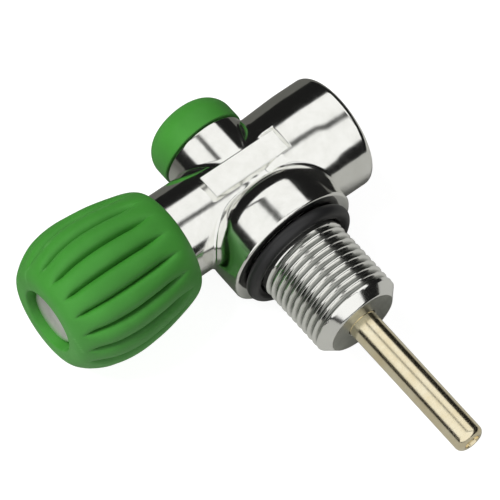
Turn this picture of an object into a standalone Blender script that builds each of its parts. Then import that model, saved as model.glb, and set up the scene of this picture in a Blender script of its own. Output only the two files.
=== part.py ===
"""Cylinder valve for a diving cylinder, built as separate solids.

The valve lies on its back.  The spindle line (handwheel, seat, outlet) runs along X with the
outlet at +X.  The neck line runs along Y with the neck thread at -Y and the capped port at +Y.
The two lines cross straight below the origin, which is on the flat pad of the body.
"""

import math

import bmesh
import bpy

# ---------------------------------------------------------------- driving dimensions (millimetres)
MM = 0.001
GAP = 0.3                     # clearance between touching pieces

PAD_HEIGHT = 13.9             # flat pad above the crossing of the two lines
PAD_LENGTH = 23.4
PAD_WIDTH = 7.0

ARM_RADIUS = 12.0             # handwheel arm of the body
ARM_END = -27.0
FLARE_START = 4.0             # the arm widens smoothly into the outlet barrel
FLARE_END = 14.5
BARREL_RADIUS = 15.75
OUTLET_FACE = 30.6
OUTLET_ROUNDING = 1.4

STUB_RADIUS = 11.7            # port stub and the crossing block
SPIGOT_RADIUS = 10.6          # reduced end of the stub, under the cap
SPIGOT_START = 15.2
PORT_FACE = 23.0

COLLAR_RADIUS = 18.3
COLLAR_BOTTOM = 20.3
DOME_ROUNDING = 7.0
NECK_RADIUS = 12.4            # outside of the M25 x 2 thread, slightly below the crest
NECK_END = 47.3
NECK_CHAMFER = 2.7

ORING_RADIUS = 14.4           # neck O-ring, centre line and section
ORING_SECTION = 1.8
ORING_STATION = 22.4

TUBE_RADIUS = 4.0
TUBE_BORE = 2.0
TUBE_ROUNDING = 1.6
TUBE_END = 88.5
TUBE_SOCKET = 9.0             # length of tube held in the neck

OUTLET_BORE = 12.0            # minor radius of the M26 x 2 outlet thread
OUTLET_SEAT = 12.0            # station of the flat at the bottom of the outlet
ORIFICE = 2.2
SEAT_LIP = 4.6                # station of the lip that the plunger shuts against
CHAMBER_RADIUS = 7.0
PLUNGER_BORE = 6.3
PLUNGER_RADIUS = 6.0
SPINDLE_RADIUS = 3.9
SQUARE_AF = 5.4               # square drive of the spindle, across flats
STUD_RADIUS = 2.5

BONNET_BORE = 9.3
BONNET_HEX_AF = 20.0

GRIP_FRONT = -61.4
GRIP_REAR = -24.0
GRIP_GROOVES = 18
GRIP_GROOVE_DEPTH = 1.1
GRIP_GROOVE_PHASE = 86.0      # degrees from +Y towards +Z
RECESS_RADIUS = 8.6
HUB_OUTER = 12.2

CAP_RADIUS = 12.15
CAP_RIM = 15.5
CAP_END = 25.5
CAP_ROUNDING = 6.0

SEGMENTS = 48                 # sides of the large round pieces
FINE = 32                     # sides of the small round pieces

# object rotations that lay a piece turned about its own Z axis along one of the valve's lines
ALONG_OUTLET = (0.0, math.radians(90), 0.0)
ALONG_NECK = (math.radians(90), 0.0, 0.0)
ALONG_PORT = (math.radians(-90), 0.0, 0.0)


# ---------------------------------------------------------------- tools
def clear_scene():
    for item in list(bpy.data.objects):
        bpy.data.objects.remove(item, do_unlink=True)


def material(name, color, roughness, metallic):
    """A plain Principled material."""
    mat = bpy.data.materials.new(name)
    mat.use_nodes = True
    shader = mat.node_tree.nodes["Principled BSDF"]
    shader.inputs["Base Color"].default_value = (*color, 1.0)
    shader.inputs["Roughness"].default_value = roughness
    shader.inputs["Metallic"].default_value = metallic
    return mat


def new_object(name, bm, mat, parent, rotation=(0.0, 0.0, 0.0)):
    """Make an object from bm, which is in millimetres, with its normals pointing out."""
    bmesh.ops.recalc_face_normals(bm, faces=bm.faces)
    bmesh.ops.scale(bm, vec=(MM, MM, MM), verts=bm.verts)
    mesh = bpy.data.meshes.new(name)
    bm.to_mesh(mesh)
    bm.free()
    mesh.shade_smooth()
    mesh.set_sharp_from_angle(angle=math.radians(35))
    mesh.materials.append(mat)
    obj = bpy.data.objects.new(name, mesh)
    obj.rotation_euler = rotation
    obj.parent = parent
    bpy.context.scene.collection.objects.link(obj)
    return obj


def empty(name, location, parent=None):
    obj = bpy.data.objects.new(name, None)
    obj.location = [value * MM for value in location]
    obj.parent = parent
    bpy.context.scene.collection.objects.link(obj)
    return obj


def arc(center, radius, start, end, steps):
    """Points of a circular arc in the (station, radius) plane; angles in degrees."""
    points = []
    for i in range(steps + 1):
        angle = math.radians(start + (end - start) * i / steps)
        points.append((center[0] + radius * math.cos(angle), center[1] + radius * math.sin(angle)))
    return points


def turned_mesh(section, segments=SEGMENTS, radius_at=None):
    """Turn a section, a loop of (station, radius) points, about Z.

    A section whose first and last points are on the axis makes a solid; any other makes a ring.
    radius_at(index, station, radius, angle) may vary the radius round the turn.
    """
    bm = bmesh.new()
    rings = []
    for index, (station, radius) in enumerate(section):
        if radius < 1e-6:
            rings.append([bm.verts.new((0.0, 0.0, station))])
            continue
        ring = []
        for step in range(segments):
            angle = 2 * math.pi * step / segments
            r = radius_at(index, station, radius, angle) if radius_at else radius
            ring.append(bm.verts.new((r * math.cos(angle), r * math.sin(angle), station)))
        rings.append(ring)
    solid = len(rings[0]) == 1 and len(rings[-1]) == 1
    pairs = list(zip(rings, rings[1:]))
    if not solid:
        pairs.append((rings[-1], rings[0]))
    for low, high in pairs:
        for step in range(segments):
            after = (step + 1) % segments
            if len(low) == 1:
                bm.faces.new((low[0], high[after], high[step]))
            elif len(high) == 1:
                bm.faces.new((low[step], low[after], high[0]))
            else:
                bm.faces.new((low[step], low[after], high[after], high[step]))
    return bm


def solid_section(points):
    """Close a stepped outside outline onto the axis at both ends."""
    return [(points[0][0], 0.0)] + list(points) + [(points[-1][0], 0.0)]


def ring_section(start, end, inner, outer):
    return [(start, inner), (start, outer), (end, outer), (end, inner)]


def torus_section(station, radius, section, steps=10):
    return arc((station, radius), section, 0, 360 - 360 / steps, steps - 1)


def turned(name, section, mat, parent, rotation, segments=SEGMENTS):
    return new_object(name, turned_mesh(section, segments), mat, parent, rotation)


def polygon_points(sides, across_flats, phase=0.0):
    """Corners of a regular polygon that stands on a flat."""
    corner = across_flats / 2 / math.cos(math.pi / sides)
    angles = [phase + 2 * math.pi * (i + 0.5) / sides for i in range(sides)]
    return [(corner * math.cos(a), corner * math.sin(a)) for a in angles]


def prism_mesh(points, start, end):
    """A prism along Z with the outline points."""
    bm = bmesh.new()
    low = [bm.verts.new((x, y, start)) for x, y in points]
    high = [bm.verts.new((x, y, end)) for x, y in points]
    bm.faces.new(low)
    bm.faces.new(high)
    for i in range(len(points)):
        j = (i + 1) % len(points)
        bm.faces.new((low[i], low[j], high[j], high[i]))
    return bm


def box_points(width, height):
    return [(-width / 2, -height / 2), (width / 2, -height / 2),
            (width / 2, height / 2), (-width / 2, height / 2)]


def tool_solid(name, bm, parent, rotation):
    """A hidden solid that only serves another object's Boolean."""
    obj = new_object(name, bm, bpy.data.materials["guide"], parent, rotation)
    obj.hide_render = True
    obj.display_type = 'WIRE'
    return obj


def combine(target, tool, operation):
    modifier = target.modifiers.new(tool.name, 'BOOLEAN')
    modifier.operation = operation
    modifier.object = tool


# ---------------------------------------------------------------- body
def spindle_line_outline():
    """Outside of the arm, its flare and the outlet barrel."""
    rim = OUTLET_ROUNDING
    points = [(ARM_END, ARM_RADIUS - 0.6), (ARM_END + 0.6, ARM_RADIUS)]
    for step in range(9):
        share = step / 8
        widening = share * share * (3 - 2 * share)
        radius = ARM_RADIUS + (BARREL_RADIUS - ARM_RADIUS) * widening
        points.append((FLARE_START + (FLARE_END - FLARE_START) * share, radius))
    points += arc((OUTLET_FACE - rim, BARREL_RADIUS - rim), rim, 90, 0, 4)
    return solid_section(points)


def neck_line_outline():
    """Outside of the crossing block, domed collar and neck, by distance down the neck."""
    dome_station = COLLAR_RADIUS - DOME_ROUNDING
    points = [(-2.0, STUB_RADIUS - 0.4)]
    points += arc((12.3, dome_station), DOME_ROUNDING, 180, 90, 6)
    points += [(COLLAR_BOTTOM - 0.6, COLLAR_RADIUS), (COLLAR_BOTTOM, COLLAR_RADIUS - 0.6)]
    points += [(COLLAR_BOTTOM, NECK_RADIUS)]
    points += [(NECK_END - NECK_CHAMFER, NECK_RADIUS), (NECK_END, NECK_RADIUS - NECK_CHAMFER)]
    return solid_section(points)


def port_line_outline():
    """Outside of the port stub, by distance from the crossing."""
    points = [(0.0, STUB_RADIUS), (SPIGOT_START, STUB_RADIUS), (SPIGOT_START, SPIGOT_RADIUS)]
    points += [(PORT_FACE - 0.6, SPIGOT_RADIUS), (PORT_FACE, SPIGOT_RADIUS - 0.6)]
    return solid_section(points)


def spindle_line_bore():
    """Bonnet thread, flange room, plunger thread, gas chamber, orifice and outlet socket."""
    points = [(ARM_END - 1.0, BONNET_BORE), (-17.0, BONNET_BORE), (-17.0, 8.0), (-11.2, 8.0)]
    points += [(-11.2, PLUNGER_BORE), (-3.2, PLUNGER_BORE), (-3.2, CHAMBER_RADIUS)]
    points += [(SEAT_LIP, CHAMBER_RADIUS), (SEAT_LIP, ORIFICE + 0.4), (SEAT_LIP + 0.4, ORIFICE)]
    points += [(OUTLET_SEAT, ORIFICE), (OUTLET_SEAT, OUTLET_BORE)]
    points += [(OUTLET_FACE - 1.3, OUTLET_BORE), (OUTLET_FACE + 1.3, OUTLET_BORE + 2.6)]
    return solid_section(points)


def body(mat, parent):
    """Forged body with its two crossing lines, flat pad and bores."""
    obj = turned("valve_body", spindle_line_outline(), mat, parent, ALONG_OUTLET)
    neck = turned_mesh(neck_line_outline())
    port = turned_mesh(port_line_outline())
    pad = prism_mesh(box_points(PAD_LENGTH, PAD_WIDTH), 6.0, PAD_HEIGHT)
    combine(obj, tool_solid("neck_blank", neck, parent, ALONG_NECK), 'UNION')
    combine(obj, tool_solid("port_blank", port, parent, ALONG_PORT), 'UNION')
    combine(obj, tool_solid("pad_blank", pad, parent, (0.0, 0.0, 0.0)), 'UNION')
    above_pad = prism_mesh(box_points(PAD_LENGTH, PAD_WIDTH), PAD_HEIGHT, BARREL_RADIUS + 2.0)
    combine(obj, tool_solid("pad_milling", above_pad, parent, (0.0, 0.0, 0.0)), 'DIFFERENCE')

    along_x = turned_mesh(spindle_line_bore())
    gas = [(0.0, TUBE_BORE), (NECK_END - TUBE_SOCKET - GAP, TUBE_BORE)]
    gas += [(NECK_END - TUBE_SOCKET - GAP, TUBE_RADIUS + GAP / 2), (NECK_END + 1, TUBE_RADIUS + GAP / 2)]
    along_neck = turned_mesh(solid_section(gas), FINE)
    port_hole = [(0.0, 2.0), (12.6, 2.0), (12.6, 7.3), (PORT_FACE - 2.4, 7.3)]
    port_hole += [(PORT_FACE - 2.4, 9.0), (PORT_FACE + 1.0, 9.0)]
    along_port = turned_mesh(solid_section(port_hole), FINE)
    combine(obj, tool_solid("spindle_bore", along_x, parent, ALONG_OUTLET), 'DIFFERENCE')
    combine(obj, tool_solid("neck_bore", along_neck, parent, ALONG_NECK), 'DIFFERENCE')
    combine(obj, tool_solid("port_bore", along_port, parent, ALONG_PORT), 'DIFFERENCE')
    return obj


def neck_seal(mat, parent):
    section = torus_section(ORING_STATION, ORING_RADIUS, ORING_SECTION, 12)
    turned("neck_oring", section, mat, parent, ALONG_NECK)


def dip_tube(mat, parent):
    """Open brass tube that keeps rust and water in the cylinder out of the valve."""
    start = NECK_END - TUBE_SOCKET
    section = [(start, TUBE_BORE), (start, TUBE_RADIUS)]
    section += arc((TUBE_END - TUBE_ROUNDING, TUBE_RADIUS - TUBE_ROUNDING), TUBE_ROUNDING, 90, 0, 5)
    section += [(TUBE_END, TUBE_BORE)]
    turned("dip_tube", section, mat, parent, ALONG_NECK, FINE)


# ---------------------------------------------------------------- bonnet and port
def bonnet(mat, parent):
    """Gland nut: hexagon outside the arm, threaded shank inside it."""
    hexagon = prism_mesh(polygon_points(6, BONNET_HEX_AF), -33.0, ARM_END - GAP)
    obj = new_object("bonnet_nut", hexagon, mat, parent, ALONG_OUTLET)
    shank = [(ARM_END - 1.0, 9.0), (-21.4, 9.0), (-21.4, 7.5), (-19.4, 7.5), (-19.4, 9.0), (-17.3, 9.0)]
    combine(obj, tool_solid("bonnet_shank", turned_mesh(solid_section(shank), FINE), parent,
                            ALONG_OUTLET), 'UNION')
    chamfer = [(-34.0, 9.6), (-33.0, 10.4), (-31.6, 11.8), (-31.6, 14.0), (-34.0, 14.0)]
    combine(obj, tool_solid("bonnet_chamfer", turned_mesh(chamfer, FINE), parent, ALONG_OUTLET),
            'DIFFERENCE')
    bore = turned_mesh(solid_section([(-36.0, SPINDLE_RADIUS + GAP), (-15.0, SPINDLE_RADIUS + GAP)]), FINE)
    combine(obj, tool_solid("bonnet_hole", bore, parent, ALONG_OUTLET), 'DIFFERENCE')


def bonnet_seal(mat, parent):
    turned("bonnet_oring", torus_section(-20.4, 8.36, 0.7, 8), mat, parent, ALONG_OUTLET, FINE)


def port_plug(mat, parent):
    """Blanking plug with a hexagon socket and a groove for its O-ring."""
    points = [(13.0, 6.4), (13.6, 7.0), (16.4, 7.0), (16.4, 5.6), (18.4, 5.6), (18.4, 7.0)]
    points += [(PORT_FACE - 2.1, 7.0), (PORT_FACE - 2.1, 8.6), (PORT_FACE - 0.3, 8.6)]
    points += [(PORT_FACE, 8.3)]
    obj = turned("port_plug", solid_section(points), mat, parent, ALONG_PORT, FINE)
    socket = prism_mesh(polygon_points(6, 6.0), PORT_FACE - 4.5, PORT_FACE + 1.0)
    combine(obj, tool_solid("plug_socket", socket, parent, ALONG_PORT), 'DIFFERENCE')


def port_plug_seal(mat, parent):
    turned("port_plug_oring", torus_section(17.4, 6.42, 0.66, 8), mat, parent, ALONG_PORT, FINE)


def port_cap(mat, parent):
    """Green push-on cap over the spigot of the port."""
    inner = SPIGOT_RADIUS + GAP
    section = [(PORT_FACE + GAP + 0.2, 0.0), (PORT_FACE + GAP + 0.2, inner - 1.0)]
    section += [(PORT_FACE - 0.8, inner), (CAP_RIM, inner), (CAP_RIM, CAP_RADIUS - 0.3)]
    section += [(CAP_RIM + 0.3, CAP_RADIUS)]
    section += arc((CAP_END - CAP_ROUNDING, CAP_RADIUS - CAP_ROUNDING), CAP_ROUNDING, 90, 0, 7)
    section += [(CAP_END, 0.0)]
    turned("port_cap", section, mat, parent, ALONG_PORT)


# ---------------------------------------------------------------- spindle and plunger
def upper_spindle(mat, parent):
    """Stem with flange, driving tang, O-ring grooves, square and threaded stud."""
    r = SPINDLE_RADIUS
    groove = 2.7
    points = [(-57.3, STUD_RADIUS - 0.4), (-56.9, STUD_RADIUS), (-49.6, STUD_RADIUS)]
    points += [(-49.6, r), (-28.6, r), (-28.6, groove), (-26.8, groove), (-26.8, r)]
    points += [(-24.6, r), (-24.6, groove), (-22.8, groove), (-22.8, r)]
    points += [(-15.6, r), (-15.6, 7.5), (-13.6, 7.5)]
    obj = turned("upper_spindle", solid_section(points), mat, parent, ALONG_OUTLET, FINE)
    tang = prism_mesh(box_points(2.6, 7.6), -14.2, -5.6)
    combine(obj, tool_solid("spindle_tang", tang, parent, ALONG_OUTLET), 'UNION')
    square = polygon_points(4, SQUARE_AF)
    outside = prism_mesh(polygon_points(4, 14.0), -51.0, -37.6)
    combine(obj, tool_solid("square_waste", hollow(outside, square), parent, ALONG_OUTLET), 'DIFFERENCE')


def hollow(bm, points):
    """Cut a prismatic hole with the outline points right through the prism bm."""
    stations = sorted({round(v.co.z, 6) for v in bm.verts})
    low_outer = [v for v in bm.verts if round(v.co.z, 6) == stations[0]]
    high_outer = [v for v in bm.verts if round(v.co.z, 6) == stations[1]]
    caps = [f for f in bm.faces if abs(f.calc_center_median().z - stations[0]) < 1e-6]
    caps += [f for f in bm.faces if abs(f.calc_center_median().z - stations[1]) < 1e-6]
    bmesh.ops.delete(bm, geom=caps, context='FACES_ONLY')
    low = [bm.verts.new((x, y, stations[0])) for x, y in points]
    high = [bm.verts.new((x, y, stations[1])) for x, y in points]
    for i in range(len(points)):
        j = (i + 1) % len(points)
        bm.faces.new((low[i], low[j], high[j], high[i]))
        bm.faces.new((low_outer[i], low_outer[j], low[j], low[i]))
        bm.faces.new((high_outer[i], high_outer[j], high[j], high[i]))
    return bm


def spindle_seals(rubber, ptfe, parent):
    """Two O-rings in the stem's grooves and the thrust washer under its flange."""
    turned("spindle_oring_outer", torus_section(-27.7, 3.45, 0.6, 8), rubber, parent, ALONG_OUTLET, 24)
    turned("spindle_oring_inner", torus_section(-23.7, 3.45, 0.6, 8), rubber, parent, ALONG_OUTLET, 24)
    turned("thrust_washer", ring_section(-17.0, -15.9, 4.3, 7.3), ptfe, parent, ALONG_OUTLET, FINE)


def plunger(mat, parent):
    """Threaded plunger, slotted for the tang, with a pocket for its soft seat."""
    points = [(-9.6, 5.6), (-9.2, PLUNGER_RADIUS), (-3.6, PLUNGER_RADIUS), (-3.2, 4.6), (3.6, 4.6)]
    obj = turned("plunger", solid_section(points), mat, parent, ALONG_OUTLET, FINE)
    slot = prism_mesh(box_points(2.6 + 2 * GAP, 8.4), -11.0, -1.6)
    combine(obj, tool_solid("plunger_slot", slot, parent, ALONG_OUTLET), 'DIFFERENCE')
    pocket = turned_mesh(solid_section([(1.6, 3.7), (5.0, 3.7)]), FINE)
    combine(obj, tool_solid("plunger_pocket", pocket, parent, ALONG_OUTLET), 'DIFFERENCE')


def plunger_seat(mat, parent):
    turned("plunger_seat", solid_section([(1.9, 3.4), (3.1, 3.4), (SEAT_LIP - GAP, 2.6)]), mat, parent,
           ALONG_OUTLET, FINE)


# ---------------------------------------------------------------- handwheel
def grip_outline():
    """Outside of the barrel-shaped grip from the recess lip to the rear rim."""
    points = [(-60.6, RECESS_RADIUS), (GRIP_FRONT, RECESS_RADIUS + 0.8), (GRIP_FRONT, 11.6)]
    points += [(-60.9, 13.2), (-59.6, 14.7), (-57.6, 16.1), (-54.0, 17.9), (-50.2, 18.8)]
    points += [(-45.6, 19.15), (-41.0, 18.85), (-37.0, 18.35), (-31.6, 17.2), (-27.9, 16.2)]
    points += [(-25.4, 15.2), (GRIP_REAR, 13.8)]
    return points


def groove_fraction(station):
    """How deep the grooves are along the grip: full in the middle, none at its two ends."""
    front = min(1.0, max(0.0, (station + 60.0) / 6.0))
    rear = min(1.0, max(0.0, (-28.0 - station) / 9.0))
    return front * rear


def handwheel_grip(mat, parent):
    """Rubber grip with lengthwise grooves, a recess in front and a skirt over the bonnet."""
    outline = grip_outline()
    inside = [(GRIP_REAR, 12.9), (-34.3, 12.9), (-34.3, HUB_OUTER + GAP), (-57.0, HUB_OUTER + GAP)]
    inside += [(-57.0, RECESS_RADIUS)]
    last_outer = len(outline)

    def radius_at(index, station, radius, angle):
        if index >= last_outer:
            return radius
        turn = (math.degrees(angle) - 90.0 - GRIP_GROOVE_PHASE) * GRIP_GROOVES / 360.0
        from_groove = abs(turn - round(turn)) * 2.0
        shape = max(0.0, 1.0 - from_groove / 0.5)
        return radius - GRIP_GROOVE_DEPTH * groove_fraction(station) * shape

    mesh = turned_mesh(outline + inside, GRIP_GROOVES * 4, radius_at)
    new_object("handwheel_grip", mesh, mat, parent, ALONG_OUTLET)


def handwheel_hub(mat, parent):
    """Moulded hub inside the grip, with a square hole for the spindle."""
    points = [(-56.7, 9.6), (-56.7, HUB_OUTER), (-34.6, HUB_OUTER), (-34.6, 10.0), (-38.4, 10.0)]
    points += [(-38.4, 6.0), (-48.0, 6.0), (-48.0, 9.6)]
    obj = turned("handwheel_hub", points, mat, parent, ALONG_OUTLET)
    web = hollow(prism_mesh(polygon_points(4, 9.6), -48.0, -38.4), polygon_points(4, SQUARE_AF + 2 * GAP))
    combine(obj, tool_solid("hub_web", web, parent, ALONG_OUTLET), 'UNION')


def handwheel_spring(mat, parent):
    """Coil spring round the stud that keeps the handwheel seated on the square."""
    turns = 3.5
    wire = 0.5
    coil = 6.0
    start = -54.4
    length = 5.4
    sides = 6
    steps = int(turns * 16)
    bm = bmesh.new()
    rings = []
    for i in range(steps + 1):
        angle = 2 * math.pi * turns * i / steps
        station = start + wire + (length - 2 * wire) * i / steps
        ring = []
        for k in range(sides):
            phi = 2 * math.pi * k / sides
            r = coil + wire * math.cos(phi)
            ring.append(bm.verts.new((r * math.cos(angle), r * math.sin(angle),
                                      station + wire * math.sin(phi))))
        rings.append(ring)
    for low, high in zip(rings, rings[1:]):
        for k in range(sides):
            m = (k + 1) % sides
            bm.faces.new((low[k], low[m], high[m], high[k]))
    bm.faces.new(rings[0])
    bm.faces.new(rings[-1])
    new_object("handwheel_spring", bm, mat, parent, ALONG_OUTLET)


def handwheel_fixings(chrome, steel, nylon, parent):
    """Slip washer behind the hub, spring washer and domed retaining nut in the recess."""
    turned("slip_washer", ring_section(-34.3, -33.3, 4.5, 9.4), nylon, parent, ALONG_OUTLET, FINE)
    turned("spring_washer", ring_section(-55.9, -54.9, 4.8, 8.0), steel, parent, ALONG_OUTLET, FINE)
    points = [(-59.8, 0.0), (-59.6, 3.6), (-59.0, 5.9), (-58.2, 7.2), (-56.3, 7.4), (-56.3, 4.4)]
    points += [(-50.4, 4.4), (-50.4, STUD_RADIUS + GAP), (-57.8, STUD_RADIUS + GAP), (-58.2, 0.0)]
    turned("handwheel_nut", points, chrome, parent, ALONG_OUTLET, FINE)


# ---------------------------------------------------------------- assembly
def build():
    clear_scene()
    material("guide", (0.5, 0.5, 0.5), 0.5, 0.0)
    chrome = material("chrome", (0.80, 0.80, 0.78), 0.10, 1.0)
    brass = material("brass", (0.86, 0.66, 0.32), 0.22, 1.0)
    green = material("green_rubber", (0.06, 0.30, 0.05), 0.55, 0.0)
    black = material("black_rubber", (0.015, 0.015, 0.015), 0.45, 0.0)
    plastic = material("hub_plastic", (0.03, 0.03, 0.03), 0.5, 0.0)
    nylon = material("nylon", (0.85, 0.84, 0.78), 0.4, 0.0)
    steel = material("spring_steel", (0.55, 0.56, 0.58), 0.3, 1.0)

    crossing = empty("crossing", (0.0, 0.0, -PAD_HEIGHT))
    wheel = empty("wheel_axis", (0.0, 0.0, 0.0), crossing)
    stem = empty("plunger_axis", (0.0, 0.0, 0.0), wheel)
    port = empty("cap_axis", (0.0, 0.0, 0.0), crossing)

    body(chrome, crossing)
    neck_seal(black, crossing)
    dip_tube(brass, crossing)
    bonnet(chrome, crossing)
    bonnet_seal(black, crossing)
    port_plug(brass, crossing)
    port_plug_seal(black, crossing)
    port_cap(green, port)

    upper_spindle(brass, wheel)
    spindle_seals(black, nylon, wheel)
    handwheel_hub(plastic, wheel)
    handwheel_grip(green, wheel)
    handwheel_spring(steel, wheel)
    handwheel_fixings(chrome, steel, nylon, wheel)

    plunger(brass, stem)
    plunger_seat(nylon, stem)


build()
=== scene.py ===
"""Visual model of a diving cylinder valve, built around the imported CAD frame.

Shapes are worked out in millimetres in the valve's own axes: the spindle line is X, the neck line
is Y and the two cross at zero.  The frame's origin is on the flat pad above that crossing.
"""

import math

import bmesh
import bpy
import numpy as np
from mathutils import Matrix, Vector


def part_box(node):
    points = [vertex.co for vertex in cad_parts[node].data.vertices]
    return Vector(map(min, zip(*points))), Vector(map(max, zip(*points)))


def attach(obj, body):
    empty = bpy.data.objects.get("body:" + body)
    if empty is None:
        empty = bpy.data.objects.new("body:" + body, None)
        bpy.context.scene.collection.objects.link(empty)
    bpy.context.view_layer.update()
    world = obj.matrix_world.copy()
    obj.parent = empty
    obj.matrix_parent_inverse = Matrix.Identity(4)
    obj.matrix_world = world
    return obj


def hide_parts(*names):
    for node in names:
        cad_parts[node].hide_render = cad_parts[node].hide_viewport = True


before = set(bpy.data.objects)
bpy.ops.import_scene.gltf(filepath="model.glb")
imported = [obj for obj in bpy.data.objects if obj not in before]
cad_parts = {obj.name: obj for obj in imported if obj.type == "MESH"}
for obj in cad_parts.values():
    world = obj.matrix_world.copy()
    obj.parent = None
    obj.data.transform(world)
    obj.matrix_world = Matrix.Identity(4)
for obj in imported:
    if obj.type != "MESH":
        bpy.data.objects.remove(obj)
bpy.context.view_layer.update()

# ---------------------------------------------------------------- dimensions (millimetres)
MM = 0.001
PAD_HEIGHT = 13.9
PAD_HALF = (11.7, 3.5)

ARM_RADIUS = 12.0
ARM_END = -27.0
SHOULDER = (3.5, 9.0)          # the arm widens in a shoulder, then tapers out to the barrel
SHOULDER_RADIUS = 15.0
TAPER_END = 21.0
BARREL_RADIUS = 15.75
BARREL_END = 30.6
BARREL_ROUNDING = 1.8

COLLAR_RADIUS = 18.3
COLLAR_TOP = -5.3
COLLAR_BOTTOM = -20.3
DOME_ROUNDING = 7.0
STUB_RADIUS = 11.7
STUB_END = 15.2
SPIGOT_RADIUS = 10.6
SPIGOT_END = 23.0
COLLAR_FILLET = 0.8
STUB_FILLET = 0.6
PAD_ROUNDING = 0.3

SPINDLE_BORES = ((-28.0, -17.0, 9.3), (-17.5, -11.2, 8.0), (-11.7, -3.2, 6.3), (-3.7, 4.6, 7.0),
                 (4.1, 12.5, 2.2), (12.0, 31.5, 13.1))
NECK_BORES = ((-22.0, 0.5, 2.0), (0.0, 13.0, 2.0), (12.6, 21.0, 7.3), (20.6, 24.0, 9.0))

NECK_CREST = 12.5
NECK_THREAD = (-24.2, -47.0)
NECK_END = -47.3
NECK_CHAMFER = 2.7
THREAD_PITCH = 2.0
THREAD_DEPTH = 1.25

OUTLET_CREST = 12.0
OUTLET_THREAD = (13.4, 30.2)
OUTLET_THREAD_DEPTH = 1.05
OUTLET_SLEEVE = 13.7          # hidden outside of the thread's own mesh, inside the barrel

ORING_STATION = -22.4
ORING_RADIUS = 14.3
ORING_SECTION = 1.8

TUBE_RADIUS = 4.0
TUBE_BORE = 2.0
TUBE_ROUNDING = 1.7
TUBE_START = -38.3
TUBE_END = -88.5

CAP_RADIUS = 12.15
CAP_RIM = 15.5
CAP_END = 25.5
CAP_ROUNDING = 6.0

BUTTON_RADIUS = 7.5
BUTTON_SHANK = 4.4
BUTTON_HOLE = 2.8

GROOVES = 18
GROOVE_DEPTH = 1.0
GROOVE_SHARE = 0.15           # half width of a groove, as a share of half the groove spacing
CROWN_DEPTH = 1.25            # how far a rib falls from its middle to its edge
GROOVE_PHASE = 6.5            # degrees from +Y towards +Z
GRIP_PROFILE = ((-60.7, 8.6), (-61.2, 8.8), (-61.4, 9.3), (-61.4, 11.4), (-61.15, 12.6), (-60.5, 13.7),
                (-59.4, 14.75), (-57.6, 16.05), (-54.0, 17.85), (-50.2, 18.8), (-45.6, 19.15),
                (-41.0, 18.85), (-37.0, 18.35), (-31.6, 17.2), (-27.9, 16.2), (-25.6, 15.3),
                (-24.3, 14.35), (-24.0, 13.7), (-24.1, 13.1), (-24.6, 12.9))


# ---------------------------------------------------------------- mesh tools
def placed(points):
    """Millimetres in the valve's axes to metres in the frame."""
    points = np.asarray(points, float) * MM
    points[:, 2] -= PAD_HEIGHT * MM
    return points


def mesh_object(name, points, faces, body, material, node=None):
    """An object from vertices in millimetres, with its faces turned outwards, riding on a body."""
    mesh = bpy.data.meshes.new(name)
    mesh.from_pydata(placed(points).tolist(), [], faces)
    bm = bmesh.new()
    bm.from_mesh(mesh)
    bmesh.ops.remove_doubles(bm, verts=bm.verts, dist=1e-7)
    bmesh.ops.dissolve_degenerate(bm, edges=bm.edges, dist=1e-8)
    bmesh.ops.recalc_face_normals(bm, faces=bm.faces)
    bm.to_mesh(mesh)
    bm.free()
    mesh.shade_smooth()
    mesh.set_sharp_from_angle(angle=math.radians(40))
    return finish_object(name, mesh, body, material, node)


def finish_object(name, mesh, body, material, node):
    mesh.materials.append(material)
    obj = bpy.data.objects.new(name, mesh)
    bpy.context.scene.collection.objects.link(obj)
    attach(obj, body)
    if node:
        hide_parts(node)
    return obj


def around(axis, station, radius, angle):
    """Point at a station along a line, at a radius and an angle round it."""
    across = radius * np.cos(angle)
    beyond = radius * np.sin(angle)
    if axis == "X":
        return np.stack([station, across, beyond], -1)
    return np.stack([beyond, station, across], -1)


def lathe(axis, section, segments, radius_at=None):
    """Vertices and quads of a closed section turned about a line.

    Points on the line make poles.  radius_at(row, radius, angle) may vary a row's radius.
    """
    section = np.asarray(section, float)
    angle = np.linspace(0, 2 * np.pi, segments, endpoint=False)
    rows = []
    for index, (station, radius) in enumerate(section):
        radii = radius_at(index, radius, angle) if radius_at else np.full(segments, radius)
        rows.append(around(axis, np.full(segments, station), radii, angle))
    on_axis = section[0][1] < 1e-6 and section[-1][1] < 1e-6
    count = len(rows) - 1 if on_axis else len(rows)
    faces = []
    for row in range(count):
        low = row * segments
        high = (row + 1) % len(rows) * segments
        for k in range(segments):
            m = (k + 1) % segments
            faces.append((low + k, low + m, high + m, high + k))
    return np.concatenate(rows), faces


def arc(center, radius, start, end, steps):
    """Points of an arc in the (station, radius) plane; angles in degrees."""
    angles = np.radians(np.linspace(start, end, steps + 1))
    return [(center[0] + radius * math.cos(a), center[1] + radius * math.sin(a)) for a in angles]


def curve_through(points, steps):
    """Catmull-Rom curve through the points, with a number of steps in each span."""
    p = np.asarray(points, float)
    p = np.vstack([2 * p[0] - p[1], p, 2 * p[-1] - p[-2]])
    out = []
    for i in range(1, len(p) - 2):
        a, b, c, d = p[i - 1:i + 3]
        knots = np.cumsum([0.0] + [math.sqrt(np.linalg.norm(v)) for v in (b - a, c - b, d - c)])
        for share in np.linspace(0, 1, steps, endpoint=False):
            t = knots[1] + (knots[2] - knots[1]) * share
            ab = blend_points(a, b, knots[0], knots[1], t)
            bc = blend_points(b, c, knots[1], knots[2], t)
            cd = blend_points(c, d, knots[2], knots[3], t)
            abc = blend_points(ab, bc, knots[0], knots[2], t)
            bcd = blend_points(bc, cd, knots[1], knots[3], t)
            out.append(tuple(blend_points(abc, bcd, knots[1], knots[2], t)))
    out.append(tuple(p[-2]))
    return out


def blend_points(a, b, start, end, t):
    return a * (end - t) / (end - start) + b * (t - start) / (end - start)


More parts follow.
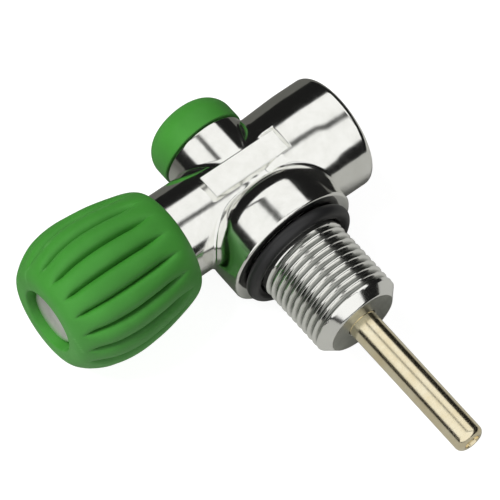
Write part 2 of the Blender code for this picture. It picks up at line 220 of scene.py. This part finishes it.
# ---------------------------------------------------------------- body shell
def rounded_and(a, b, radius):
    """Where two shapes overlap, with the edge between them rounded."""
    corner = np.hypot(np.maximum(a + radius, 0), np.maximum(b + radius, 0))
    return np.minimum(-radius, np.maximum(a, b)) + corner


def filleted_or(a, b, radius):
    """Two shapes joined, with a fillet in the corner between them."""
    corner = np.hypot(np.maximum(radius - a, 0), np.maximum(radius - b, 0))
    return np.maximum(radius, np.minimum(a, b)) - corner


def shell_distance(p):
    """Distance to the body's surface in millimetres, negative inside it."""
    x, y, z = p[..., 0], p[..., 1], p[..., 2]
    off_spindle = np.hypot(y, z)
    off_neck = np.hypot(x, z)
    share = np.clip((x - SHOULDER[0]) / (SHOULDER[1] - SHOULDER[0]), 0, 1)
    rise = SHOULDER_RADIUS - ARM_RADIUS
    slope = rise * 6 * share * (1 - share) / (SHOULDER[1] - SHOULDER[0])
    left = np.clip((TAPER_END - x) / (TAPER_END - SHOULDER[1]), -3, 1)
    taper = 1 - (np.hypot(left, 0.12) + left) / 2
    outline = ARM_RADIUS + rise * share ** 2 * (3 - 2 * share) + (BARREL_RADIUS - SHOULDER_RADIUS) * taper
    arm = (off_spindle - outline) / np.hypot(1, slope)
    arm = rounded_and(arm, x - BARREL_END, BARREL_ROUNDING)
    arm = rounded_and(arm, ARM_END - x, 0.6)
    collar = rounded_and(off_neck - COLLAR_RADIUS, y - COLLAR_TOP, DOME_ROUNDING)
    collar = rounded_and(collar, COLLAR_BOTTOM - y, 0.6)
    stub = rounded_and(off_neck - STUB_RADIUS, y - STUB_END, 0.4)
    stub = np.maximum(stub, -8.0 - y)
    spigot = rounded_and(off_neck - SPIGOT_RADIUS, y - SPIGOT_END, 0.6)
    spigot = np.maximum(spigot, -y)
    shell = filleted_or(filleted_or(arm, collar, COLLAR_FILLET), stub, STUB_FILLET)
    shell = np.minimum(shell, spigot)
    beside_pad = np.maximum(np.abs(x) - PAD_HALF[0], np.abs(y) - PAD_HALF[1])
    shell = rounded_and(shell, -np.maximum(beside_pad, PAD_HEIGHT - z), PAD_ROUNDING)
    pad = rounded_and(beside_pad, z - PAD_HEIGHT, PAD_ROUNDING)
    shell = np.minimum(shell, np.maximum(pad, 6.0 - z))
    for start, end, radius in SPINDLE_BORES:
        shell = np.maximum(shell, -np.maximum(off_spindle - radius, np.maximum(start - x, x - end)))
    for start, end, radius in NECK_BORES:
        shell = np.maximum(shell, -np.maximum(off_neck - radius, np.maximum(start - y, y - end)))
    return shell


def surface_normal(distance, p, step=1e-3):
    out = np.empty_like(p)
    for axis in range(3):
        shift = np.zeros(3)
        shift[axis] = step
        out[..., axis] = distance(p + shift) - distance(p - shift)
    return out / np.maximum(np.linalg.norm(out, axis=-1, keepdims=True), 1e-12)


def contour(distance, low, high, step):
    """Quads on the zero surface of a distance function, with sharp edges kept sharp."""
    axes = [np.arange(a, b + step, step) for a, b in zip(low, high)]
    grid = np.stack(np.meshgrid(*axes, indexing="ij"), -1)
    value = distance(grid)
    shape = value.shape
    strides = (shape[1] * shape[2], shape[2], 1)
    cells, crossings, normals = [], [], []
    for axis in range(3):
        near = [slice(1, -1)] * 3
        near[axis] = slice(0, -1)
        far = list(near)
        far[axis] = slice(1, None)
        start_in = value[tuple(near)] < 0
        ends_differ = start_in != (value[tuple(far)] < 0)
        index = np.argwhere(ends_differ) + [0 if a == axis else 1 for a in range(3)]
        a = grid[tuple(index.T)].copy()
        b = a.copy()
        b[:, axis] += step
        inside_first = start_in[ends_differ]
        for _ in range(12):
            middle = (a + b) / 2
            keep_low = (distance(middle) < 0) == inside_first
            a[keep_low] = middle[keep_low]
            b[~keep_low] = middle[~keep_low]
        crossings.append((a + b) / 2)
        normals.append(surface_normal(distance, crossings[-1]))
        base = index @ np.array(strides)
        u, v = [strides[k] for k in range(3) if k != axis]
        cells.append(np.stack([base, base - u, base - u - v, base - v], -1))
    cells = np.concatenate(cells)
    crossings = np.concatenate(crossings)
    normals = np.concatenate(normals)

    used, corner = np.unique(cells, return_inverse=True)
    corner = corner.reshape(cells.shape)
    spread = corner.ravel()
    point = np.repeat(crossings, 4, axis=0)
    normal = np.repeat(normals, 4, axis=0)
    count = np.bincount(spread)
    middle = np.stack([np.bincount(spread, point[:, k]) for k in range(3)], -1) / count[:, None]
    along = np.sum(normal * (point - middle[spread]), -1)
    matrix = np.empty((len(used), 3, 3))
    target = np.empty((len(used), 3))
    for i in range(3):
        target[:, i] = np.bincount(spread, normal[:, i] * along)
        for j in range(3):
            matrix[:, i, j] = np.bincount(spread, normal[:, i] * normal[:, j])
    matrix += np.eye(3) * 0.05
    offset = np.linalg.solve(matrix, target[..., None])[..., 0]
    vertices = middle + np.clip(offset, -step * 0.7, step * 0.7)
    across = vertices[corner[:, 2]] - vertices[corner[:, 0]]
    beyond = vertices[corner[:, 3]] - vertices[corner[:, 1]]
    inward = np.sum(np.cross(across, beyond) * normals, -1) < 0
    corner[inward] = corner[inward][:, ::-1]
    return vertices, corner


def body_shell(material):
    """Forged body with its blended crossing, milled pad and bores, and true surface normals."""
    low = (ARM_END - 1.03, COLLAR_BOTTOM - 1.01, -COLLAR_RADIUS - 1.02)
    high = (BARREL_END + 1.0, SPIGOT_END + 1.0, COLLAR_RADIUS + 1.0)
    points, quads = contour(shell_distance, low, high, 0.3)
    corners = points[quads]
    centers = corners.mean(axis=1, keepdims=True)
    normals = surface_normal(shell_distance, corners * 0.7 + centers * 0.3)
    mesh = bpy.data.meshes.new("body_shell")
    mesh.from_pydata(placed(points).tolist(), [], quads.tolist())
    mesh.shade_smooth()
    mesh.normals_split_custom_set(normals.reshape(-1, 3).tolist())
    return finish_object("body_shell", mesh, "body", material, "valve_body")


# ---------------------------------------------------------------- threads
THREAD_PROFILE = ((0.0, 0.0), (0.06, 0.0), (0.20, 0.45), (0.35, 0.93), (0.42, 1.0),
                  (0.5, 1.0), (0.58, 1.0), (0.65, 0.93), (0.80, 0.45), (0.94, 0.0))


def thread_rows(axis, start, end, pitch, radius_at, segments):
    """Vertices and quads of a helical surface from start to end along a line.

    radius_at(station, depth) gives the radius where the thread's own depth share is depth.
    """
    direction = 1 if end > start else -1
    per_turn = len(THREAD_PROFILE)
    turns = int(math.ceil(abs(end - start) / pitch)) + 2
    rows = per_turn * turns
    share = np.array([THREAD_PROFILE[m % per_turn][0] + m // per_turn for m in range(rows + per_turn)])
    depth = np.array([THREAD_PROFILE[m % per_turn][1] for m in range(rows + per_turn)])
    wind = np.arange(segments) / segments
    station = start + direction * pitch * (share[:, None] - 1 + wind[None, :])
    station = np.clip(station, min(start, end), max(start, end))
    angle = np.broadcast_to(direction * 2 * np.pi * wind[None, :], station.shape)
    radius = radius_at(station, np.broadcast_to(depth[:, None], station.shape))
    points = around(axis, station, radius, angle).reshape(-1, 3)
    faces = []
    for m in range(rows - 1):
        for k in range(segments):
            low, high = m * segments + k, (m + 1) * segments + k
            if k + 1 < segments:
                faces.append((low, low + 1, high + 1, high))
            else:
                faces.append((low, (m + per_turn) * segments, (m + 1 + per_turn) * segments, high))
    return points, faces


def with_rings(axis, threaded, section, segments, direction):
    """Adds plain rings, joined in order, to a threaded surface."""
    points, faces = threaded
    angle = direction * 2 * np.pi * np.arange(segments) / segments
    first = len(points)
    rings = [around(axis, np.full(segments, s), np.full(segments, r), angle) for s, r in section]
    faces = list(faces)
    for row in range(len(section) - 1):
        for k in range(segments):
            m = (k + 1) % segments
            low, high = first + row * segments, first + (row + 1) * segments
            faces.append((low + k, low + m, high + m, high + k))
    return np.concatenate([points] + rings), faces


def neck_radius(station, depth):
    """Outside of the neck: a thread that fades in at the collar and out at the chamfered end."""
    fade = np.clip((NECK_THREAD[0] - 0.2 - station) / 0.8, 0, 1)
    fade = fade * np.clip((station - NECK_END - NECK_CHAMFER + 0.1) / 0.7, 0, 1)
    into = np.clip(NECK_END + NECK_CHAMFER - station, 0, NECK_CHAMFER)
    return np.minimum(NECK_CREST - 0.2 - into, NECK_CREST - THREAD_DEPTH * depth * fade)


def neck(material):
    segments = 144
    threaded = thread_rows("Y", NECK_THREAD[0], NECK_THREAD[1], THREAD_PITCH, neck_radius, segments)
    start_radius = float(neck_radius(np.array(NECK_THREAD[0]), np.array(0.0)))
    end_radius = float(neck_radius(np.array(NECK_THREAD[1]), np.array(0.0)))
    section = [(NECK_THREAD[1], end_radius), (NECK_END + 0.1, end_radius - 0.28)]
    section += [(NECK_END, end_radius - 0.5)]
    section += [(NECK_END, 4.35), (NECK_END + 0.2, 4.15), (-19.0, 4.15), (-19.0, start_radius)]
    section += [(NECK_THREAD[0], start_radius)]
    points, faces = with_rings("Y", threaded, section, segments, -1)
    mesh_object("neck_thread", points, faces, "body", material)


def neck_face(material):
    """Machined end of the neck: a thin ring laid over the end of the threaded mesh."""
    section = [(NECK_END - 0.02, 4.35), (NECK_END - 0.02, NECK_CREST - 0.2 - NECK_CHAMFER - 0.02)]
    section += [(NECK_END + 0.35, NECK_CREST - 0.2 - NECK_CHAMFER - 0.3), (NECK_END + 0.35, 4.35)]
    points, faces = lathe("Y", section, 144)
    mesh_object("neck_face", points, faces, "body", material)


def outlet_radius(station, depth):
    """Inside of the outlet: a thread whose crests are chamfered at the mouth."""
    mouth = np.clip(station - (BARREL_END - 1.5), 0, 1.1)
    return OUTLET_CREST + np.maximum(OUTLET_THREAD_DEPTH * depth, mouth)


def outlet_thread(material):
    segments = 144
    start, end = OUTLET_THREAD
    threaded = thread_rows("X", start, end, THREAD_PITCH, outlet_radius, segments)
    first = float(outlet_radius(np.array(start), np.array(0.0)))
    last = float(outlet_radius(np.array(end), np.array(0.0)))
    section = [(end, last), (end, OUTLET_SLEEVE), (start, OUTLET_SLEEVE), (start, first)]
    points, faces = with_rings("X", threaded, section, segments, 1)
    mesh_object("outlet_thread", points, faces, "body", material)


# ---------------------------------------------------------------- turned pieces
def neck_oring(material):
    section = arc((ORING_STATION, ORING_RADIUS), ORING_SECTION, 0, 345, 23)
    points, faces = lathe("Y", section, 128)
    mesh_object("neck_seal", points, faces, "body", material, "neck_oring")


def dip_tube(material):
    section = [(TUBE_START, TUBE_BORE), (TUBE_START, TUBE_RADIUS)]
    section += arc((TUBE_END + TUBE_ROUNDING, TUBE_RADIUS - TUBE_ROUNDING), TUBE_ROUNDING, 90, 180, 10)
    section += [(TUBE_END + 0.05, TUBE_BORE + 0.1), (TUBE_END + 0.25, TUBE_BORE)]
    points, faces = lathe("Y", section, 64)
    mesh_object("dip_pipe", points, faces, "body", material, "dip_tube")


def port_cap(material):
    inner = SPIGOT_RADIUS + 0.3
    section = [(SPIGOT_END + 0.35, 0.0), (SPIGOT_END + 0.35, inner - 0.75), (SPIGOT_END - 0.35, inner)]
    section += [(CAP_RIM, inner)]
    section += arc((CAP_RIM + 0.35, CAP_RADIUS - 0.35), 0.35, 180, 90, 4)
    section += arc((CAP_END - CAP_ROUNDING, CAP_RADIUS - CAP_ROUNDING), CAP_ROUNDING, 90, 0, 18)
    section += [(CAP_END, 0.0)]
    points, faces = lathe("Y", section, 96)
    mesh_object("cap_moulding", points, faces, "cap", material, "port_cap")


def grip(material):
    """Barrel-shaped rubber grip with narrow lengthwise grooves between crowned ribs."""
    outer = curve_through(GRIP_PROFILE, 5)
    section = list(outer)
    section += [(-34.3, 12.9), (-34.3, 12.5), (-57.0, 12.5), (-57.0, 8.6)]
    stations = np.array([s for s, _ in section])
    front = np.clip((stations + 60.2) / 4.6, 0, 1)
    rear = np.clip((-27.0 - stations) / 9.0, 0, 1)
    along = front * front * (3 - 2 * front) * rear * rear * (3 - 2 * rear)

    def radius_at(row, radius, angle):
        if row >= len(outer):
            return np.full_like(angle, radius)
        turn = (np.degrees(angle) - GROOVE_PHASE) * GROOVES / 360.0
        off = np.abs(turn - np.round(turn)) * 2.0
        groove = GROOVE_DEPTH * np.exp(-(off / GROOVE_SHARE) ** 1.3)
        crown = CROWN_DEPTH * (1 - off) ** 2.2
        return radius - along[row] * (groove + crown)

    points, faces = lathe("X", section, GROOVES * 22, radius_at)
    mesh_object("grip_moulding", points, faces, "handwheel", material, "handwheel_grip")


def wheel_button(material):
    """Retaining nut with a nearly flat disc for a head, in the middle of the handwheel."""
    section = [(-60.1, 0.0)]
    section += curve_through([(-60.1, 0.3), (-60.05, 2.6), (-59.9, 4.8), (-59.65, 6.4), (-59.45, 7.0)], 5)
    section += [(-59.1, BUTTON_RADIUS - 0.15), (-58.6, BUTTON_RADIUS), (-56.3, BUTTON_RADIUS)]
    section += [(-56.3, BUTTON_SHANK), (-50.4, BUTTON_SHANK), (-50.4, BUTTON_HOLE)]
    section += [(-57.6, BUTTON_HOLE), (-58.0, 0.0)]
    points, faces = lathe("X", section, 72)
    mesh_object("wheel_button", points, faces, "handwheel", material, "handwheel_nut")


# ---------------------------------------------------------------- node helpers
class Tree:
    """Small helper that adds and joins nodes in one node tree."""

    def __init__(self, tree):
        self.tree = tree

    def node(self, kind, settings=None, **inputs):
        made = self.tree.nodes.new(kind)
        for key, value in (settings or {}).items():
            setattr(made, key, value)
        for key, value in inputs.items():
            self.put(made.inputs[key.replace("_", " ")], value)
        return made

    def put(self, socket, value):
        if isinstance(value, bpy.types.NodeSocket):
            self.tree.links.new(value, socket)
        else:
            socket.default_value = value

    def math(self, operation, first, second=0.0):
        made = self.tree.nodes.new("ShaderNodeMath")
        made.operation = operation
        self.put(made.inputs[0], first)
        self.put(made.inputs[1], second)
        return made.outputs[0]

    def noise(self, vector, scale, detail=3.0, roughness=0.5):
        made = self.node("ShaderNodeTexNoise", Vector=vector, Scale=scale, Detail=detail,
                         Roughness=roughness)
        return made.outputs["Fac"]

    def stretched(self, vector, scale):
        return self.node("ShaderNodeMapping", Vector=vector, Scale=scale).outputs[0]

    def remap(self, value, low, high, to_low, to_high, smooth=False):
        made = self.tree.nodes.new("ShaderNodeMapRange")
        made.interpolation_type = "SMOOTHSTEP" if smooth else "LINEAR"
        for index, item in enumerate((value, low, high, to_low, to_high)):
            self.put(made.inputs[index], item)
        return made.outputs[0]

    def mix(self, factor, first, second):
        made = self.tree.nodes.new("ShaderNodeMix")
        made.data_type = "RGBA"
        self.put(made.inputs[0], factor)
        self.put(made.inputs[6], first if isinstance(first, bpy.types.NodeSocket) else (*first, 1.0))
        self.put(made.inputs[7], second if isinstance(second, bpy.types.NodeSocket) else (*second, 1.0))
        return made.outputs[2]

    def bump(self, height, distance, strength=1.0, normal=None):
        made = self.node("ShaderNodeBump", Height=height, Distance=distance, Strength=strength)
        if normal:
            self.put(made.inputs["Normal"], normal)
        return made.outputs[0]


def new_material(name):
    material = bpy.data.materials.new(name)
    material.use_nodes = True
    tree = Tree(material.node_tree)
    shader = material.node_tree.nodes["Principled BSDF"]
    where = tree.node("ShaderNodeTexCoord").outputs["Object"]
    return material, tree, shader, where


# ---------------------------------------------------------------- materials
def plated_chrome():
    """Polished chrome over forged brass: faint waviness, hairline scratches and dull handling marks."""
    material, tree, shader, where = new_material("plated_chrome")
    smears = tree.noise(where, 260.0, 5.0, 0.6)
    tint = tree.mix(tree.remap(smears, 0.35, 0.75, 0.0, 1.0), (0.93, 0.93, 0.905), (0.86, 0.86, 0.825))
    tree.put(shader.inputs["Base Color"], tint)
    shader.inputs["Metallic"].default_value = 1.0
    hairlines = tree.noise(tree.stretched(where, (1.0, 22.0, 22.0)), 420.0, 4.0, 0.7)
    rough = tree.math("ADD", tree.remap(smears, 0.3, 0.8, 0.085, 0.16),
                      tree.remap(hairlines, 0.62, 0.8, 0.0, 0.10))
    tree.put(shader.inputs["Roughness"], rough)
    wavy = tree.bump(tree.noise(where, 130.0, 2.0), 0.00012, 0.35)
    tree.put(shader.inputs["Normal"], tree.bump(hairlines, 0.000004, 0.35, wavy))
    return material


def thread_chrome():
    """Plated neck thread whose roots are coloured dark as painted shade."""
    material, tree, shader, where = new_material("thread_chrome")
    parts = tree.node("ShaderNodeSeparateXYZ", Vector=where).outputs
    height = tree.math("ADD", parts["Z"], PAD_HEIGHT * MM)
    radius = tree.math("SQRT", tree.math("ADD", tree.math("MULTIPLY", parts["X"], parts["X"]),
                                         tree.math("MULTIPLY", height, height)))
    shade_edge_noise = tree.noise(where, 320.0, 4.0, 0.6)
    # painted shade: below the crest radius the thread roots turn dark grey, with a noisy edge; the
    # chamfered end stays bright
    unshaded_mask = tree.remap(tree.math("ADD", radius, tree.math("MULTIPLY", shade_edge_noise, 0.0003)),
                       (NECK_CREST - 1.25) * MM, (NECK_CREST - 0.35) * MM, 0.0, 1.0, True)
    chamfered = tree.remap(parts["Y"], NECK_END * MM, (NECK_END + NECK_CHAMFER) * MM, 1.0, 0.0)
    plain_end = tree.math("GREATER_THAN", chamfered, 0.08)
    unshaded_mask = tree.math("MAXIMUM", unshaded_mask, plain_end)
    tree.put(shader.inputs["Base Color"], tree.mix(unshaded_mask, (0.24, 0.25, 0.23), (0.93, 0.93, 0.905)))
    shader.inputs["Metallic"].default_value = 1.0
    tree.put(shader.inputs["Roughness"], tree.remap(unshaded_mask, 0.0, 1.0, 0.30, 0.12))
    tree.put(shader.inputs["Normal"], tree.bump(tree.noise(where, 900.0, 3.0), 0.00002, 0.3))
    return material


def machined_chrome(name, color):
    """Plating over a turned face: duller, with a fine tooled grain."""
    material, tree, shader, where = new_material(name)
    cloud = tree.noise(where, 240.0, 4.0, 0.6)
    shade = tree.mix(tree.remap(cloud, 0.3, 0.7, 0.0, 1.0), color, [c * 0.82 for c in color])
    tree.put(shader.inputs["Base Color"], shade)
    shader.inputs["Metallic"].default_value = 1.0
    tree.put(shader.inputs["Roughness"], tree.remap(cloud, 0.3, 0.7, 0.30, 0.42))
    tree.put(shader.inputs["Normal"], tree.bump(tree.noise(where, 1500.0, 3.0), 0.00002, 0.5))
    return material


def turned_brass():
    """Bare brass with fine turning marks and slight browning."""
    material, tree, shader, where = new_material("turned_brass")
    stains = tree.noise(where, 190.0, 5.0, 0.65)
    color = tree.mix(tree.remap(stains, 0.35, 0.75, 0.0, 1.0), (0.93, 0.85, 0.64), (0.84, 0.72, 0.47))
    tree.put(shader.inputs["Base Color"], color)
    shader.inputs["Metallic"].default_value = 1.0
    marks = tree.noise(tree.stretched(where, (1.0, 16.0, 1.0)), 350.0, 3.0, 0.6)
    tree.put(shader.inputs["Roughness"], tree.remap(marks, 0.3, 0.7, 0.13, 0.27))
    tree.put(shader.inputs["Normal"], tree.bump(marks, 0.00001, 0.5))
    return material


def moulded_rubber(name, color, worn, rough, wear):
    """Moulded rubber: fine grain, cloudy colour and edges rubbed paler."""
    material, tree, shader, where = new_material(name)
    cloud = tree.noise(where, 95.0, 4.0, 0.6)
    base = tree.mix(tree.remap(cloud, 0.3, 0.7, 0.0, 1.0), color, [c * 0.84 for c in color])
    edges = tree.node("ShaderNodeNewGeometry").outputs["Pointiness"]
    rubbed = tree.math("MULTIPLY", tree.remap(edges, 0.51, 0.60, 0.0, wear),
                       tree.remap(tree.noise(where, 420.0, 4.0), 0.35, 0.65, 0.2, 1.0))
    tree.put(shader.inputs["Base Color"], tree.mix(rubbed, base, worn))
    grain = tree.noise(where, 2600.0, 4.0, 0.7)
    tree.put(shader.inputs["Roughness"], tree.remap(cloud, 0.2, 0.8, rough - 0.06, rough + 0.08))
    tree.put(shader.inputs["Normal"], tree.bump(grain, 0.00003, 0.35))
    return material


def plain_plastic(name, color, rough):
    """Injection-moulded plastic with a fine spark-eroded grain."""
    material, tree, shader, where = new_material(name)
    cloud = tree.noise(where, 140.0, 3.0)
    tree.put(shader.inputs["Base Color"], tree.mix(cloud, color, [c * 0.8 for c in color]))
    tree.put(shader.inputs["Roughness"], tree.remap(cloud, 0.2, 0.8, rough - 0.05, rough + 0.1))
    tree.put(shader.inputs["Normal"], tree.bump(tree.noise(where, 3000.0), 0.00002, 0.3))
    return material


def drawn_steel():
    """Stainless wire and washers with drawing lines."""
    material, tree, shader, where = new_material("drawn_steel")
    lines = tree.noise(tree.stretched(where, (12.0, 1.0, 1.0)), 500.0, 4.0)
    tree.put(shader.inputs["Base Color"], tree.mix(lines, (0.60, 0.61, 0.63), (0.48, 0.49, 0.50)))
    shader.inputs["Metallic"].default_value = 1.0
    tree.put(shader.inputs["Roughness"], tree.remap(lines, 0.3, 0.7, 0.22, 0.38))
    tree.put(shader.inputs["Normal"], tree.bump(lines, 0.000008, 0.4))
    return material


# ---------------------------------------------------------------- stage
CAMERA_AT = (-0.27905, -0.29125, 0.65468)
CAMERA_RIGHT = (0.77619, -0.62824, 0.05329)
CAMERA_UP = (0.52473, 0.69054, 0.49780)
CAMERA_BACK = (-0.34954, -0.35843, 0.86565)
CAMERA_LENS = 223.6
GAP_OFFSET = -0.234           # where the seam between the two overhead softboxes lies


def camera():
    data = bpy.data.cameras.new("camera")
    data.lens = CAMERA_LENS
    data.sensor_width = 36.0
    data.clip_start = 0.05
    data.clip_end = 50.0
    obj = bpy.data.objects.new("camera", data)
    turn = Matrix((CAMERA_RIGHT, CAMERA_UP, CAMERA_BACK)).transposed()
    obj.matrix_world = Matrix.Translation(CAMERA_AT) @ turn.to_4x4()
    bpy.context.scene.collection.objects.link(obj)
    bpy.context.scene.camera = obj


def disc(name, radius, height, material):
    """A flat round stage surface."""
    bm = bmesh.new()
    bmesh.ops.create_circle(bm, cap_ends=True, radius=radius, segments=96)
    mesh = bpy.data.meshes.new(name)
    bm.to_mesh(mesh)
    bm.free()
    mesh.materials.append(material)
    obj = bpy.data.objects.new(name, mesh)
    obj.location = (0.0, -0.02, height)
    bpy.context.scene.collection.objects.link(obj)
    return obj


def floor_material(name, color, glow):
    material = bpy.data.materials.new(name)
    material.use_nodes = True
    shader = material.node_tree.nodes["Principled BSDF"]
    shader.inputs["Base Color"].default_value = (*color, 1.0)
    shader.inputs["Roughness"].default_value = 0.9
    shader.inputs["Specular IOR Level"].default_value = 0.1
    shader.inputs["Emission Color"].default_value = (1.0, 1.0, 1.0, 1.0)
    shader.inputs["Emission Strength"].default_value = glow
    return material


def floor():
    """Pale floor.  Reflections see a grey table top instead, with painted shade darkening its far side."""
    height = min(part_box(node)[0][2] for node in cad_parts)
    white = floor_material("floor_white", (0.26, 0.26, 0.26), 0.93)
    wide = disc("floor", 12.0, height - 0.0001, white)
    wide.visible_glossy = False
    grey = floor_material("table_grey", (0.40, 0.40, 0.38), 0.0)
    tree = Tree(grey.node_tree)
    side = tree.node("ShaderNodeSeparateXYZ", Vector=tree.node("ShaderNodeNewGeometry").outputs["Position"])
    # painted shade: the table top's colour falls from grey to near black towards +Y, where less light
    # reaches it
    shade = tree.remap(side.outputs["Y"], -0.01, 0.05, 0.0, 1.0, True)
    tree.put(grey.node_tree.nodes["Principled BSDF"].inputs["Base Color"],
             tree.mix(shade, (0.42, 0.42, 0.40), (0.11, 0.11, 0.10)))
    top = disc("table_top", 0.42, height - 0.00005, grey)
    top.visible_camera = False
    top.visible_diffuse = False
    top.visible_shadow = False


def studio_light():
    """Two overhead softboxes with a dark seam between them and black beyond, and a key light.

    The softboxes are dimmer for matt surfaces, which the key light shapes instead.  The camera sees
    a pale backdrop.
    """
    world = bpy.data.worlds.new("studio")
    bpy.context.scene.world = world
    world.use_nodes = True
    tree = Tree(world.node_tree)
    world.node_tree.nodes.clear()
    ray = tree.node("ShaderNodeTexCoord").outputs["Generated"]
    parts = tree.node("ShaderNodeSeparateXYZ", Vector=ray).outputs
    up = tree.math("MAXIMUM", parts["Z"], 0.001)
    east = tree.math("DIVIDE", parts["X"], up)
    north = tree.math("DIVIDE", parts["Y"], up)
    west = tree.math("MAXIMUM", tree.math("SUBTRACT", -1.2, east), 0.0)
    reach = tree.math("ADD", north, tree.math("MULTIPLY", west, 0.3))
    box = tree.math("MULTIPLY", tree.remap(east, 1.00, 1.14, 1.0, 0.0, True),
                    tree.remap(reach, 0.93, 1.07, 1.0, 0.0, True))
    box = tree.math("MULTIPLY", box, tree.remap(parts["Z"], 0.01, 0.11, 0.0, 1.0, True))
    across = tree.math("ABSOLUTE", tree.math("ADD", tree.math("ADD", east, north), GAP_OFFSET))
    gap = tree.remap(across, 0.04, 0.15, 0.06, 1.0, True)
    light = tree.remap(tree.math("MULTIPLY", box, gap), 0.0, 1.0, 0.012, 0.98)
    path = tree.node("ShaderNodeLightPath").outputs
    light = tree.math("MULTIPLY", light, tree.remap(path["Is Glossy Ray"], 0.0, 1.0, 0.42, 1.0))
    studio = tree.node("ShaderNodeBackground", Strength=light)
    studio.inputs["Color"].default_value = (1.0, 1.0, 0.985, 1.0)
    backdrop = tree.node("ShaderNodeBackground", Strength=1.0)
    backdrop.inputs["Color"].default_value = (0.96, 0.96, 0.96, 1.0)
    seen = path["Is Camera Ray"]
    mixed = tree.node("ShaderNodeMixShader")
    tree.put(mixed.inputs[0], seen)
    tree.put(mixed.inputs[1], studio.outputs[0])
    tree.put(mixed.inputs[2], backdrop.outputs[0])
    output = tree.node("ShaderNodeOutputWorld")
    tree.put(output.inputs["Surface"], mixed.outputs[0])
    lamp = bpy.data.lights.new("key", "SUN")
    lamp.energy = 3.0
    lamp.angle = math.radians(25)
    key = bpy.data.objects.new("key", lamp)
    key.rotation_euler = Vector((-0.45, 0.30, 0.85)).to_track_quat("Z", "Y").to_euler()
    key.visible_glossy = False
    bpy.context.scene.collection.objects.link(key)
    bpy.context.scene.view_settings.view_transform = "Standard"


# ---------------------------------------------------------------- scene
def dress(node, material):
    """Gives a CAD node that stays visible its finished material."""
    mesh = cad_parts[node].data
    mesh.materials.clear()
    mesh.materials.append(material)


def build():
    chrome = plated_chrome()
    thread = thread_chrome()
    satin = machined_chrome("satin_chrome", (0.97, 0.98, 0.95))
    # painted shade: a darkened copy of the satin chrome, coloured dark for the neck's end face
    painted_shade_face = machined_chrome("painted_shade_face_chrome", (0.46, 0.47, 0.43))
    brass = turned_brass()
    green = moulded_rubber("green_rubber", (0.050, 0.262, 0.031), (0.12, 0.38, 0.09), 0.50, 0.35)
    black = moulded_rubber("black_rubber", (0.009, 0.009, 0.010), (0.03, 0.03, 0.03), 0.40, 0.2)
    plastic = plain_plastic("black_plastic", (0.03, 0.03, 0.03), 0.5)
    nylon = plain_plastic("natural_nylon", (0.80, 0.79, 0.72), 0.4)
    steel = drawn_steel()

    body_shell(chrome)
    neck(thread)
    neck_face(painted_shade_face)
    outlet_thread(chrome)
    neck_oring(black)
    dip_tube(brass)
    port_cap(green)
    grip(green)
    wheel_button(satin)

    dress("bonnet_nut", chrome)
    for node in ("port_plug", "upper_spindle", "plunger"):
        dress(node, brass)
    for node in ("bonnet_oring", "port_plug_oring", "spindle_oring_outer", "spindle_oring_inner"):
        dress(node, black)
    for node in ("thrust_washer", "slip_washer", "plunger_seat"):
        dress(node, nylon)
    for node in ("handwheel_spring", "spring_washer"):
        dress(node, steel)
    dress("handwheel_hub", plastic)

    camera()
    floor()
    studio_light()


build()
